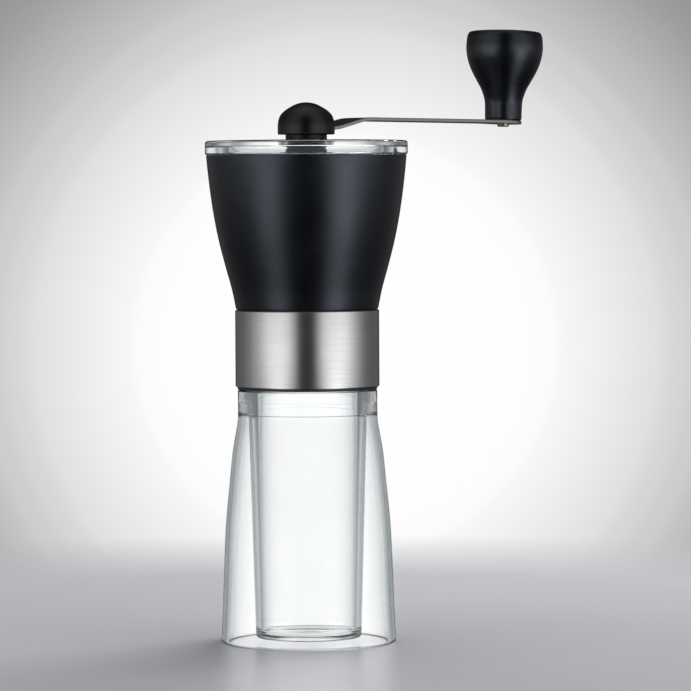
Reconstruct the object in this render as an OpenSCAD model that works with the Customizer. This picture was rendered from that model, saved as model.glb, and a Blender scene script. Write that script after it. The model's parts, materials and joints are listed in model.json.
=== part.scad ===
// Hand crank coffee grinder: clear double wall cup, screw-on mill with a steel
// band, black hopper, clear lid, and a long crank with a turning knob.
// Millimetres. Origin: on the table under the body's axis. +Z up, +X along the
// crank arm.

/* [Cup] */
// Outer radius of the skirt where it stands
base_r = 31.5; // [26:0.1:38]
// Height of the shoulder the mill screws down to
shoulder_z = 90.7; // [80:0.1:100]
// Outer radius of the neck
neck_r = 25.1; // [22:0.1:30]
// Wall of the outer skirt
skirt_wall = 2.6; // [1.5:0.1:4]
// Inner radius of the cup at its floor
cup_floor_r = 16.6; // [14:0.1:19]
// Inner radius of the cup at its mouth
cup_mouth_r = 18.4; // [16:0.1:20]
// Outer radius of the inner cup at its foot
cup_foot_r = 19.1; // [17:0.1:21]
// Outer radius of the inner cup under the neck
cup_waist_r = 21.3; // [19:0.1:22]
// Underside of the inner cup above the table
cup_foot_z = 1.5; // [1:0.1:6]
// Thickness of the inner cup's floor
cup_floor_t = 1.6; // [1.2:0.1:5]
// Height where the space between the walls ends
air_top_z = 82.2; // [70:0.1:84]
// Height of the ledge in the skirt that carries the inner cup
seam_z = 86.4; // [84.5:0.1:88]
// Wall of the skirt's sleeve round the neck
neck_wall = 1.5; // [1:0.1:2]

/* [Screw joint] */
// Rise of the mill for each turn off the cup
thread_pitch = 4; // [2:0.5:6]
// Core radius of the cup's spigot
spigot_r = 22.3; // [20:0.1:24]
// Top of the cup's spigot
spigot_z = 101.5; // [98:0.1:104]
// Radial height of a thread ridge
ridge_h = 1.15; // [0.6:0.05:1.6]
// Width of a ridge at its root
ridge_w = 1.7; // [1:0.1:2]
// Bore radius of the mill's collar
collar_bore_r = 23.75; // [23:0.05:24.5]

/* [Steel band] */
// Outer radius of the band
band_r = 25.92; // [24:0.02:28]
// Wall of the band
band_wall = 1.0; // [0.5:0.1:1.5]
// Lower edge of the band
band_z0 = 91.9; // [91:0.1:95]
// Upper edge of the band
band_z1 = 119.4; // [110:0.1:125]

/* [Hopper] */
// Outer radius of the rim
rim_r = 36.0; // [32:0.1:40]
// Height of the rim
rim_z = 175.05; // [160:0.05:190]
// Wall of the bowl
hopper_wall = 2.2; // [1.5:0.1:3]
// Radius of the ledge that centres the lid
ledge_r = 30.0; // [28:0.1:33]

/* [Lid] */
// Outer radius of the lid
lid_r = 36.45; // [32:0.05:40]
// Height of the lid's edge
lid_t = 5.1; // [3:0.1:7]
// Thickness of the lid's top plate
lid_plate = 2.0; // [1:0.1:3]
// Outer radius of the centring ring under the lid
plug_r = 29.6; // [27:0.1:32]
// Depth of the centring ring
plug_h = 4.2; // [2:0.1:8]

/* [Crank] */
// Distance from the axis to the knob
crank_len = 98.9; // [80:0.1:120]
// Width of the arm
arm_w = 13.8; // [10:0.1:18]
// Thickness of the arm
arm_t = 1.25; // [1:0.05:3]
// Height of the arm's middle plane at the knob's pin
arm_z = 187.6; // [185:0.05:195]
// Fall of the arm from its bend to its drooping end
arm_fall = 0.3; // [0:0.05:2]
// Outward lean of the knob's pin and droop of the arm's end, in degrees
lean = 1.8; // [0:0.1:4]
// Height of the arm's middle plane in the hub
arm_root_z = 184.6; // [183.5:0.1:188]
// Radius of the hub's neck above the lid
hub_neck_r = 7.45; // [7:0.05:9]
// Radius of the hub's stem through the lid
hub_stem_r = 6.9; // [6.5:0.05:7.2]
// Radius of the hub's cap
hub_cap_r = 10.25; // [9:0.05:12]
// Height of the cap's lower edge
hub_cap_z = 182.4; // [181:0.1:185]
// Height of the cap's top
hub_top_z = 193.95; // [190:0.05:198]
// Height of the knob
knob_h = 33.7; // [28:0.1:40]
// Largest radius of the knob
knob_r = 14.4; // [12:0.05:17]

/* [Mill] */
// Radius of the shaft
shaft_r = 3.25; // [2.5:0.05:4]
// Outer radius of the ring burr
ring_burr_r = 18.5; // [16:0.1:19]
// Teeth of the ring burr
ring_teeth = 18; // [8:1:24]
// Teeth of the cone burr
cone_teeth = 12; // [6:1:16]
// Travel of the cone burr from fine to coarse
grind_travel = 1.5; // [0.5:0.1:2]
// Pitch of the adjusting nut
nut_pitch = 1.0; // [0.5:0.1:1.5]

/* [Hidden] */
$fa = 4;
$fs = 0.6;
fit = 0.05;
run_fit = 0.07;
seg_turn = 40;

// Heights along the shaft
collar_z0 = 91.05;
ceiling_z = 103.1;
burr_seat_z = 105.0;
ring_burr_z1 = 119.4;
flange_z = 119.7;
throat_z = 123.4;
throat_r = 19.8;
tower_z0 = 124.0;
tower_z1 = 150.0;
cone_z0 = 103.9;
cone_z1 = 121.0;
nut_z0 = 96.6;
nut_z1 = 103.55;
nut_bore = 3.1;
shaft_z0 = 93.5;
shaft_z1 = 180.4;
hex_z0 = 167.5;
flats_z0 = 103.8;
flats_h = 17.8;
thread_z0 = 94.4;
core_r = 2.45;
socket_z0 = 168.5;
hub_z0 = 166.0;
screw_r = 21.6;
// Along the crank
arm_bend_x = [9, 23.5];
droop_x = crank_len - 6.5;
pin_r = 2.0;
pin_head_r = 2.2;
pin_head_h = 1.0;
pin_top = 22.2;
washer_r = 4.6;
washer_t = 0.4;
knob_foot = arm_t / 2 + 0.15;
lid_z0 = 175.1;
lid_z1 = lid_z0 + lid_t;
plate_z = lid_z1 - lid_plate;
// Groove in the hub's stem, for the snap ring under the lid's plate
clip_z0 = 176.3;
clip_z1 = plate_z - 0.1;
groove_r = 6.3;
band_in_r = band_r - band_wall;
sleeve_r = band_in_r - fit;

// ---------------------------------------------------------------- helpers

// Smooth curve through the given points, n steps for each span
function mix(a, b, c, d, t) =
    0.5 * ((2 * b) + (c - a) * t + (2 * a - 5 * b + 4 * c - d) * t * t
           + (3 * b - a - 3 * c + d) * t * t * t);
function at(p, i) = p[max(0, min(len(p) - 1, i))];
function smooth(p, n) = concat(
    [for (i = [0 : len(p) - 2]) for (k = [0 : n - 1])
        mix(at(p, i - 1), at(p, i), at(p, i + 1), at(p, i + 2), k / n)],
    [p[len(p) - 1]]);
function shift(p, dr) = [for (q = p) [q[0] - dr, q[1]]];
function reversed(p) = [for (i = [len(p) - 1 : -1 : 0]) p[i]];
function above(p, z) = [for (q = p) if (q[1] > z) q];
function below(p, z) = [for (q = p) if (q[1] < z) q];

module turned(points) {
    rotate_extrude() polygon(points);
}

// A plain ring between two radii and two heights
module ring(r_in, r_out, z0, z1) {
    turned([[r_in, z0], [r_out, z0], [r_out, z1], [r_in, z1]]);
}

// A section, counter-clockwise in radius and height, led round the axis. The
// crest, on the side given by out, fades in and out at both ends.
module helix(section, r0, turns, pitch, seg, out, lead, z_at) {
    n = round(turns * seg);
    m = len(section);
    points = [for (i = [0 : n]) let (
        a = i * 360 / seg,
        k = lead > 0 ? max(0.15, min(1, i / lead, (n - i) / lead)) : 1,
        z = len(z_at) > 1 ? lookup(i / seg, z_at) : pitch * i / seg)
        for (s = section) let (r = r0 + (s[0] * out > 0 ? s[0] * k : s[0]))
            [r * cos(a), r * sin(a), z + s[1]]];
    sides = [for (i = [0 : n - 1]) for (j = [0 : m - 1]) let (
        a = m * i + j,
        b = m * i + (j + 1) % m)
        each [[a, b, b + m], [a, b + m, a + m]]];
    polyhedron(points, concat(
        [[for (j = [m - 1 : -1 : 0]) j]],
        sides,
        [[for (j = [0 : m - 1]) m * n + j]]), convexity = 6);
}

// ---------------------------------------------------------------- cup

skirt_line = smooth([
    [base_r, 0.9],
    [base_r - 0.55, 11],
    [base_r - 1.4, 34],
    [base_r - 2.1, 45.5],
    [base_r - 3.25, 57],
    [base_r - 4.45, 68.6],
    [neck_r + 0.25, 78.6],
    [neck_r, air_top_z + 0.4]], 5);

module cup_skirt() {
    color([0.85, 0.88, 0.9, 0.35])
    turned(concat(
        [[base_r - skirt_wall + 0.5, 0], [base_r - 0.7, 0], [base_r - 0.2, 0.25]],
        skirt_line,
        [[neck_r, shoulder_z - 0.4], [neck_r - 0.4, shoulder_z],
         [neck_r - neck_wall, shoulder_z], [neck_r - neck_wall, seam_z],
         [22.05, seam_z], [22.05, air_top_z], [22.35, air_top_z - 0.1]],
        reversed(below(shift(skirt_line, skirt_wall), air_top_z - 2.2)),
        [[base_r - skirt_wall, 0.5]]));
}

module cup_inner() {
    mouth_h = spigot_z;
    color([0.85, 0.88, 0.9, 0.35])
    union() {
        turned([
            [0, cup_foot_z],
            [cup_foot_r - 1.2, cup_foot_z],
            [cup_foot_r - 0.35, cup_foot_z + 0.35],
            [cup_foot_r, cup_foot_z + 1.2],
            [cup_waist_r, air_top_z - 0.6],
            [22.0, air_top_z],
            [22.0, seam_z + fit],
            [neck_r - neck_wall - 0.1, seam_z + fit],
            [neck_r - neck_wall - 0.1, shoulder_z],
            [spigot_r, shoulder_z],
            [spigot_r, mouth_h - 0.5],
            [spigot_r - 0.5, mouth_h],
            [cup_mouth_r + 0.5, mouth_h],
            [cup_mouth_r, mouth_h - 0.5],
            [cup_floor_r, cup_foot_z + cup_floor_t + 1.4],
            [cup_floor_r - 0.4, cup_foot_z + cup_floor_t + 0.4],
            [cup_floor_r - 1.4, cup_foot_z + cup_floor_t],
            [1.6, cup_foot_z + cup_floor_t],
            [1.3, cup_foot_z + cup_floor_t + 0.35],
            [0, cup_foot_z + cup_floor_t + 0.35]]);
        translate([0, 0, 93.2])
            helix([[-0.4, -ridge_w / 2 - 0.2], [ridge_h, -0.35],
                   [ridge_h, 0.35], [-0.4, ridge_w / 2 + 0.2]],
                  spigot_r, 1.75, thread_pitch, seg_turn, 1, 6, []);
    }
}

// The loose sealing ring rides up with the mill but does not turn with it
module cup_gasket() {
    color([0.2, 0.2, 0.21])
    turned([[19.4, 101.65], [19.8, 101.6], [22.9, 101.6], [23.2, 101.9],
            [23.2, 102.7], [22.9, 103.0], [19.8, 103.0], [19.4, 102.6]]);
}

// ---------------------------------------------------------------- mill body

// Female thread, the ring burr's seat and the lip under the steel band
module thread_collar() {
    color([0.1, 0.1, 0.11])
    union() {
        difference() {
            turned([
                [collar_bore_r + 0.4, collar_z0],
                [25.1, collar_z0],
                [25.25, collar_z0 + 0.15],
                [25.25, band_z0 - fit],
                [sleeve_r, band_z0 - fit],
                [sleeve_r, flange_z - fit],
                [ring_burr_r + 0.1, flange_z - fit],
                [ring_burr_r + 0.1, burr_seat_z - fit],
                [17.2, burr_seat_z - fit],
                [17.2, ceiling_z],
                [collar_bore_r, ceiling_z],
                [collar_bore_r, collar_z0 + 0.4]]);
            for (i = [0 : 2]) rotate(60 + 120 * i) translate([screw_r, 0, 0]) {
                translate([0, 0, ceiling_z - 1]) cylinder(r = 2.0, h = 3.3);
                translate([0, 0, ceiling_z]) cylinder(r = 1.3, h = 20);
            }
        }
        translate([0, 0, 93.2 + thread_pitch / 2])
            helix([[-ridge_h, -0.35], [0.4, -ridge_w / 2 - 0.2],
                   [0.4, ridge_w / 2 + 0.2], [-ridge_h, 0.35]],
                  collar_bore_r, 1.25, thread_pitch, seg_turn, -1, 6, []);
    }
}

module steel_band() {
    color([0.72, 0.72, 0.73])
    turned([
        [band_in_r, band_z0],
        [band_r - 0.9, band_z0],
        [band_r - 0.4, band_z0 + 0.15],
        [band_r - 0.1, band_z0 + 0.5],
        [band_r, band_z0 + 1.0],
        [band_r, band_z1 - 0.3],
        [band_r - 0.25, band_z1],
        [band_in_r, band_z1]]);
}

hopper_line = smooth([
    [25.75, 120.5],
    [27.05, 126.9],
    [29.4, 135.5],
    [31.6, 144.2],
    [33.3, 152.8],
    [34.6, 161.5],
    [35.6, 170.1],
    [rim_r, rim_z - 0.5]], 5);

module hopper() {
    color([0.09, 0.1, 0.11])
    difference() {
        turned(concat(
            [[throat_r - 1.0, flange_z], [25.2, flange_z], [25.55, flange_z + 0.2]],
            hopper_line,
            [[rim_r - 0.4, rim_z], [ledge_r + 0.3, rim_z], [ledge_r, rim_z - 0.3],
             [ledge_r, rim_z - 2.4], [ledge_r + 3.2, rim_z - 6.2]],
            reversed(above(below(shift(hopper_line, hopper_wall), rim_z - 7), 136)),
            [[24.2, 131.0], [throat_r + 0.2, throat_z + 0.6],
             [throat_r, throat_z], [throat_r, throat_z - 2],
             [throat_r - 1.0, throat_z - 2]]));
        for (i = [0 : 2]) rotate(60 + 120 * i)
            translate([screw_r, 0, flange_z - 1]) cylinder(r = 0.95, h = 3.9);
    }
}

// Foot ring in the hopper's throat, three ribs and the bearing tube
module shaft_spider() {
    color([0.12, 0.12, 0.13])
    difference() {
        union() {
            ring(17.6, throat_r - fit, throat_z - 1.9, throat_z + 0.5);
            ring(4.6, 6.4, tower_z0, tower_z1);
            for (i = [0 : 2]) rotate(120 * i) {
                translate([5.6, -1.3, throat_z + 0.2]) cube([12.8, 2.6, 7.4]);
                translate([5.6, -1.3, throat_z - 1.9]) translate([11, 0, 0])
                    cube([2.4, 2.6, 3]);
            }
        }
        translate([0, 0, tower_z0 - 5]) cylinder(r = 4.6, h = 40);
    }
}

module bush(z0, z1) {
    color([0.76, 0.62, 0.35])
    turned([[shaft_r + run_fit, z0], [4.55, z0], [4.55, z1],
            [shaft_r + run_fit, z1]]);
}

module lower_bush() bush(tower_z0, tower_z0 + 7);

module upper_bush() bush(tower_z1 - 7, tower_z1);

ring_bore = [
    [15.3, ring_burr_z1],
    [13.3, 111.5],
    [13.3, 110.6],
    [15.05, burr_seat_z]];

module ring_burr() {
    color([0.93, 0.92, 0.89])
    difference() {
        turned(concat(ring_bore,
            [[ring_burr_r - 0.4, burr_seat_z], [ring_burr_r, burr_seat_z + 0.4],
             [ring_burr_r, ring_burr_z1 - 0.6], [ring_burr_r - 0.6, ring_burr_z1]]));
        for (i = [0 : ring_teeth - 1]) rotate(i * 360 / ring_teeth)
            translate([13.0, 0, 111.4]) rotate([24, 14, 0])
                translate([-1, -0.7, 0]) cube([2.4, 1.4, 12]);
        for (i = [0 : 2 * ring_teeth - 1]) rotate(i * 180 / ring_teeth)
            translate([13.4, 0, 111.4]) rotate([-24, -15.5, 0])
                translate([-1, -0.4, -9]) cube([1.5, 0.8, 9]);
    }
}

module housing_screw(i) {
    color([0.7, 0.7, 0.71])
    rotate(60 + 120 * i) translate([screw_r, 0, 0]) difference() {
        union() {
            translate([0, 0, ceiling_z + 0.1]) cylinder(r = 1.9, h = 2.1);
            translate([0, 0, ceiling_z + 2]) cylinder(r = 1.2, h = 14.5);
            translate([0, 0, ceiling_z + 2]) cylinder(r = 0.9, h = 17.2);
        }
        translate([0, 0, ceiling_z]) cylinder(r = 1.0, h = 1.2, $fn = 6);
    }
}

module housing_screw_1() housing_screw(0);

module housing_screw_2() housing_screw(1);

module housing_screw_3() housing_screw(2);

// ---------------------------------------------------------------- lid

// Top plate with a deep edge and a centring ring, hollow underneath
module lid() {
    bore_r = hub_stem_r + 0.08;
    color([0.85, 0.88, 0.9, 0.35])
    turned([
        [bore_r, plate_z],
        [plug_r - 2.1, plate_z],
        [plug_r - 1.7, plate_z - 0.4],
        [plug_r - 1.5, lid_z0 - plug_h + 0.3],
        [plug_r - 1.2, lid_z0 - plug_h],
        [plug_r - 0.4, lid_z0 - plug_h],
        [plug_r - 0.1, lid_z0 - plug_h + 0.3],
        [plug_r, lid_z0],
        [lid_r - 0.8, lid_z0],
        [lid_r - 0.3, lid_z0 + 0.2],
        [lid_r, lid_z0 + 0.7],
        [lid_r, lid_z1 - 1.1],
        [lid_r - 0.35, lid_z1 - 0.35],
        [lid_r - 1.1, lid_z1],
        [bore_r, lid_z1]]);
}

// ---------------------------------------------------------------- crank

module arm_shape(grow) {
    h = arm_t / 2 + grow;
    w = arm_w / 2 + grow;
    tip_x = crank_len + arm_w;
    droop_z = arm_z + (crank_len - droop_x) * tan(lean);
    // middle line of the strip, from the hub to beyond its end
    line = [
        [-7.2 - grow, arm_root_z],
        [arm_bend_x[0], arm_root_z],
        [arm_bend_x[1], droop_z + arm_fall],
        [droop_x, droop_z],
        [tip_x, arm_z - arm_w * tan(lean)]];
    intersection() {
        rotate([90, 0, 0]) linear_extrude(2 * w, center = true) polygon(concat(
            [for (p = line) [p[0], p[1] - h]],
            [for (p = reversed(line)) [p[0], p[1] + h]]));
        translate([0, 0, arm_root_z - 10]) union() {
            translate([-7.5, -w, 0]) cube([crank_len + 7.5, 2 * w, 30]);
            translate([crank_len, 0, 0]) cylinder(r = w, h = 30);
        }
        translate([0, 0, arm_root_z - 10]) union() {
            cylinder(r = 8.4 + grow, h = 30);
            translate([0, -w, 0]) cube([tip_x, 2 * w, 30]);
        }
    }
}

// Places its children on the knob's leaning pin, with z = 0 in the arm's
// middle plane
module on_pin() {
    translate([crank_len, 0, arm_z]) rotate([0, lean, 0]) children();
}

module arm() {
    color([0.62, 0.62, 0.62])
    difference() {
        arm_shape(0);
        on_pin() translate([0, 0, -5]) cylinder(r = pin_r + fit, h = 10);
        translate([0, 0, arm_root_z - 5]) cylinder(r = 2.6, h = 10);
    }
}

// Cap and neck in one moulding, closed round the end of the arm
module hub_cap() {
    dome = smooth([
        [hub_cap_r, hub_cap_z + 1.0],
        [hub_cap_r - 0.05, hub_cap_z + 3.8],
        [hub_cap_r - 0.4, hub_cap_z + 5.6],
        [hub_cap_r - 1.05, hub_cap_z + 7.05],
        [hub_cap_r - 2.5, hub_cap_z + 8.55],
        [5.7, hub_top_z - 1.65],
        [3.4, hub_top_z - 0.55],
        [1.5, hub_top_z - 0.1],
        [0, hub_top_z]], 4);
    color([0.08, 0.08, 0.09])
    difference() {
        union() {
            turned(concat(
                [[0, hub_cap_z], [hub_cap_r - 0.3, hub_cap_z],
                 [hub_cap_r, hub_cap_z + 0.3]], dome));
            turned([
                [0, hub_z0],
                [hub_stem_r - 0.4, hub_z0],
                [hub_stem_r, hub_z0 + 0.5],
                [hub_stem_r, clip_z0 - 0.05],
                [groove_r, clip_z0 - 0.05],
                [groove_r, clip_z1 + 0.05],
                [hub_stem_r, clip_z1 + 0.05],
                [hub_stem_r, lid_z1 + 0.1],
                [hub_neck_r, lid_z1 + 0.1],
                [hub_neck_r, hub_cap_z + 0.5],
                [0, hub_cap_z + 0.5]]);
        }
        translate([0, 0, hub_z0 - 1]) cylinder(r = 5.6, h = 16.4);
        difference() {
            arm_shape(0.03);
            cylinder(r = 2.55, h = 300);
        }
    }
}

module hub_socket() {
    color([0.66, 0.66, 0.67])
    difference() {
        ring(0, 5.55, hub_z0 + 0.3, 181.3);
        translate([0, 0, hub_z0 - 1])
            cylinder(r = shaft_r + 0.1, h = 16, $fn = 6);
        translate([0, 0, hub_z0]) cylinder(r = shaft_r + 0.5, h = socket_z0 - hub_z0);
    }
}

// Snap ring in the stem's groove, holds the lid on the crank
module hub_clip() {
    color([0.14, 0.14, 0.15])
    difference() {
        ring(groove_r + 0.02, hub_neck_r, clip_z0, clip_z1);
        translate([-12, -1, clip_z0 - 1]) cube([12, 2, 4]);
    }
}

// Pin riveted through the arm: slotted head below, flange over the knob's step
module knob_pin() {
    under = -arm_t / 2;
    color([0.62, 0.62, 0.62])
    on_pin() difference() {
        turned([
            [0, under - pin_head_h],
            [pin_head_r - 0.25, under - pin_head_h],
            [pin_head_r, under - pin_head_h + 0.25],
            [pin_head_r, under],
            [pin_r, under],
            [pin_r, pin_top - 2.0],
            [3.4, pin_top - 2.0],
            [3.4, pin_top - 0.4],
            [3.0, pin_top],
            [0, pin_top]]);
        translate([0, 0, pin_top - 1.3]) cylinder(r = 1.5, h = 3, $fn = 6);
        translate([-3, -0.35, under - pin_head_h - 1]) cube([6, 0.7, 1.5]);
    }
}

module knob_washer() {
    color([0.7, 0.7, 0.71])
    on_pin() ring(pin_r + fit, washer_r, arm_t / 2 + 0.02, arm_t / 2 + washer_t);
}

module knob_body() {
    side = smooth([
        [knob_r - 7.5, 1.2],
        [knob_r - 7.45, 3.9],
        [knob_r - 7.2, 7.6],
        [knob_r - 5.95, 11.4],
        [knob_r - 4.4, 14.3],
        [knob_r - 2.85, 17.1],
        [knob_r - 1.5, 20.0],
        [knob_r - 0.55, 22.9],
        [knob_r - 0.05, 26.0],
        [knob_r, 28.4],
        [knob_r - 0.25, 31.2]], 4);
    color([0.08, 0.08, 0.09])
    on_pin() difference() {
        translate([0, 0, knob_foot]) turned(concat(
            [[0, 0], [knob_r - 8.0, 0], [knob_r - 7.6, 0.35]],
            side,
            [[knob_r - 0.6, knob_h - 1.35], [0, knob_h - 1.35]]));
        cylinder(r = pin_r + run_fit, h = 25);
        cylinder(r = washer_r + 0.15, h = arm_t / 2 + washer_t + 0.06);
        translate([0, 0, pin_top - 2.45]) cylinder(r = 4.2, h = 30);
    }
}

// Crowned top, plugged into the knob's bore
module knob_cap() {
    color([0.08, 0.08, 0.09])
    on_pin() translate([0, 0, knob_foot]) turned([
        [0, knob_h - 10],
        [4.15, knob_h - 10],
        [4.15, knob_h - 1.3],
        [knob_r - 0.65, knob_h - 1.3],
        [knob_r - 1.0, knob_h - 0.8],
        [knob_r - 1.9, knob_h - 0.45],
        [knob_r - 4.5, knob_h - 0.2],
        [knob_r - 9.0, knob_h],
        [0, knob_h]]);
}

// ---------------------------------------------------------------- drive

module shaft() {
    color([0.75, 0.75, 0.76])
    union() {
        difference() {
            cylinder_z(shaft_r, flats_z0, hex_z0 + 0.5);
            for (s = [-1, 1])
                translate([-5, s * 3.7 - 1, flats_z0 - 1]) cube([10, 2, flats_h + 1]);
            difference() {
                cylinder_z(5, 122.35, 123.35);
                cylinder_z(2.6, 122, 124);
            }
        }
        intersection() {
            translate([0, 0, hex_z0])
                cylinder(r = shaft_r, h = shaft_z1 - hex_z0, $fn = 6);
            turned([[0, hex_z0], [shaft_r + 1, hex_z0],
                    [shaft_r + 1, shaft_z1 - 1.4], [shaft_r - 0.9, shaft_z1],
                    [0, shaft_z1]]);
        }
        cylinder_z(core_r, shaft_z0, flats_z0 + 0.2);
        translate([0, 0, thread_z0])
            helix([[-0.25, -0.42], [0.5, -0.08], [0.5, 0.08], [-0.25, 0.42]],
                  core_r, 7.75, nut_pitch, 20, 1, 5, []);
    }
}

module cylinder_z(r, z0, z1) {
    translate([0, 0, z0]) cylinder(r = r, h = z1 - z0);
}

module shaft_collar() {
    color([0.66, 0.66, 0.67])
    difference() {
        turned([[shaft_r + 0.02, 150.75], [6.0, 150.75], [6.3, 151.05],
                [6.3, 156.0], [6.0, 156.3], [shaft_r + 0.02, 156.3]]);
        translate([0, 0, 153.5]) rotate([0, 90, 0]) cylinder(r = 1.25, h = 10);
    }
}

module collar_screw() {
    color([0.3, 0.3, 0.31])
    difference() {
        translate([shaft_r + 0.03, 0, 153.5]) rotate([0, 90, 0])
            cylinder(r = 1.2, h = 2.8);
        translate([shaft_r + 1.6, 0, 153.5]) rotate([0, 90, 0])
            cylinder(r = 0.65, h = 3, $fn = 6);
    }
}

module thrust_washer() {
    color([0.85, 0.85, 0.82])
    ring(shaft_r + 0.05, 6.2, tower_z1 + 0.1, tower_z1 + 0.7);
}

// Open snap ring in the shaft's groove, under the lower bush
module shaft_clip() {
    color([0.3, 0.3, 0.31])
    difference() {
        ring(2.62, 5.2, 122.45, 123.25);
        translate([-8, -1.6, 122]) cube([8, 3.2, 2]);
    }
}

module spring_seat() {
    color([0.7, 0.7, 0.71])
    ring(shaft_r + 0.05, 5.1, 121.75, 122.4);
}

// Open coils between two closed end turns
module burr_spring() {
    wire = 0.4;
    coil_r = 4.2;
    end_rise = 2 * wire + 0.05;
    z0 = 109.3 + wire;
    rise = 121.7 - wire - z0;
    turns = 5.5;
    color([0.7, 0.7, 0.71])
    translate([0, 0, z0])
        helix([for (k = [0 : 7]) [wire * cos(45 * k), wire * sin(45 * k)]],
              coil_r, turns, 1, 20, 1, 0,
              [[0, 0], [1, end_rise], [turns - 1, rise - end_rise],
               [turns, rise]]);
}

// ---------------------------------------------------------------- cone burr

module cone_burr() {
    color([0.93, 0.92, 0.89])
    difference() {
        turned([
            [0, cone_z0], [14.2, cone_z0], [14.6, cone_z0 + 0.4],
            [14.6, burr_seat_z], [12.6, 110.6], [10.2, 113.4],
            [7.4, cone_z1 - 0.6], [6.9, cone_z1], [0, cone_z1]]);
        cylinder_z(5.2, 109.2, cone_z1 + 1);
        intersection() {
            cylinder_z(shaft_r + 0.1, cone_z0 - 1, 110);
            translate([-6, -2.8, cone_z0 - 1]) cube([12, 5.6, 8]);
        }
        for (i = [0 : cone_teeth - 1]) rotate(i * 360 / cone_teeth)
            translate([8.6, 0, cone_z1 + 1]) rotate([180 - 26, -24, 0])
                cylinder(r1 = 1.9, r2 = 0.7, h = 13);
        for (i = [0 : 3 * cone_teeth - 1]) rotate(i * 120 / cone_teeth)
            translate([12.9, 0, 110.9]) rotate([180 - 24, -20, 0])
                cylinder(r = 0.4, h = 8);
    }
}

module adjuster_nut() {
    color([0.12, 0.12, 0.13])
    union() {
        difference() {
            turned([
                [nut_bore, nut_z0 + 0.4], [nut_bore + 0.4, nut_z0], [8.3, nut_z0],
                [8.9, nut_z0 + 0.6], [8.9, 100.9], [8.3, 101.5], [5.8, 101.5],
                [5.6, nut_z1], [nut_bore, nut_z1]]);
            for (i = [0 : 11]) rotate(30 * i) translate([9.5, 0, nut_z0 - 1])
                cylinder(r = 1.35, h = 8);
        }
        translate([0, 0, thread_z0 + 3.5 * nut_pitch])
            helix([[-0.5, -0.08], [0.25, -0.42], [0.25, 0.42], [-0.5, 0.08]],
                  nut_bore, 5, nut_pitch, 20, -1, 5, []);
    }
}

cup_inner();
cup_skirt();
cup_gasket();
thread_collar();
steel_band();
hopper();
shaft_spider();
lower_bush();
upper_bush();
ring_burr();
housing_screw_1();
housing_screw_2();
housing_screw_3();
lid();
hub_cap();
hub_socket();
hub_clip();
arm();
knob_pin();
knob_washer();
knob_body();
knob_cap();
shaft();
shaft_collar();
collar_screw();
thrust_washer();
shaft_clip();
spring_seat();
burr_spring();
cone_burr();
adjuster_nut();
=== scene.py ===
"""Visual model of a hand crank coffee grinder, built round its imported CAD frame.

The outer pieces are made here and replace their CAD nodes; the collar, the knob's pin
and the works inside keep their CAD meshes and get materials. Radii and heights on the object are in
millimetres, about the body's axis and above the table. The camera, the stage and the
lights are in metres.
"""
import json
import math

import bmesh
import bpy
from mathutils import Matrix, Vector


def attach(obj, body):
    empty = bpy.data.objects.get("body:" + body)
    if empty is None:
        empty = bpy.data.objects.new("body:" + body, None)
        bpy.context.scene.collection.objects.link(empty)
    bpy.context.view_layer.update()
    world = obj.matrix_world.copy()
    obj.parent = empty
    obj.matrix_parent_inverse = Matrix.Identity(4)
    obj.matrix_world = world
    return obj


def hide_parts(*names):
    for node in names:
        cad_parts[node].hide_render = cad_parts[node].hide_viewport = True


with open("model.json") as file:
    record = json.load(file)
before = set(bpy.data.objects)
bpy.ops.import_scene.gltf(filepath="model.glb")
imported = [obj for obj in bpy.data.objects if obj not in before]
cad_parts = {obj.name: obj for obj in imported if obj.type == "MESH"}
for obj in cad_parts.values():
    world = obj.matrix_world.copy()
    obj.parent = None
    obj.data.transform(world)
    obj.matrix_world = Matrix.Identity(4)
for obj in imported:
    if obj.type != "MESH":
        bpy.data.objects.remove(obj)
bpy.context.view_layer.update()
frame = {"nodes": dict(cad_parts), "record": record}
nodes = frame["nodes"]
scene = bpy.context.scene
MM = 0.001

# ------------------------------------------------------------------ camera
# The camera looks along LOOK; RIGHT is to its right. The crank then points right
# and away from it.
CRANK_AWAY = math.radians(42.0)
LOOK = Vector((math.sin(CRANK_AWAY), math.cos(CRANK_AWAY), 0.0))
RIGHT = Vector((math.cos(CRANK_AWAY), -math.sin(CRANK_AWAY), 0.0))
UP = Vector((0.0, 0.0, 1.0))
EYE_ASIDE = 0.01374
EYE_HEIGHT = 0.162
EYE_DISTANCE = 1.37
AIM_HEIGHT = 0.10649
EYE = RIGHT * EYE_ASIDE - LOOK * EYE_DISTANCE + UP * EYE_HEIGHT
AIM = RIGHT * EYE_ASIDE + UP * AIM_HEIGHT
ROLL = math.radians(0.28)
SENSOR_MM = 36.0
# focal length as a multiple of the sensor's width
FOCAL_SHARE = 5.512


def look_at(obj, place, target, roll=0.0):
    forward = (target - place).normalized()
    side = forward.cross(UP).normalized()
    head = side.cross(forward)
    turn = Matrix((side, head, -forward)).transposed().to_4x4()
    obj.matrix_world = (
        Matrix.Translation(place) @ turn @ Matrix.Rotation(roll, 4, "Z")
    )


def make_camera():
    data = bpy.data.cameras.new("camera")
    data.sensor_width = SENSOR_MM
    data.sensor_fit = "HORIZONTAL"
    data.lens = SENSOR_MM * FOCAL_SHARE
    data.clip_start = 0.05
    data.clip_end = 50.0
    camera = bpy.data.objects.new("camera", data)
    scene.collection.objects.link(camera)
    look_at(camera, EYE, AIM, -ROLL)
    scene.camera = camera
    scene.view_settings.view_transform = "Standard"
    scene.view_settings.look = "None"


# ------------------------------------------------------------------ node helpers
def feed(tree, socket, value):
    """Link a socket to another node's output, or set it to a number or a colour."""
    if isinstance(value, bpy.types.NodeSocket):
        tree.links.new(value, socket)
    elif isinstance(value, tuple):
        socket.default_value = (*value, 1.0)
    else:
        socket.default_value = value


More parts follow.
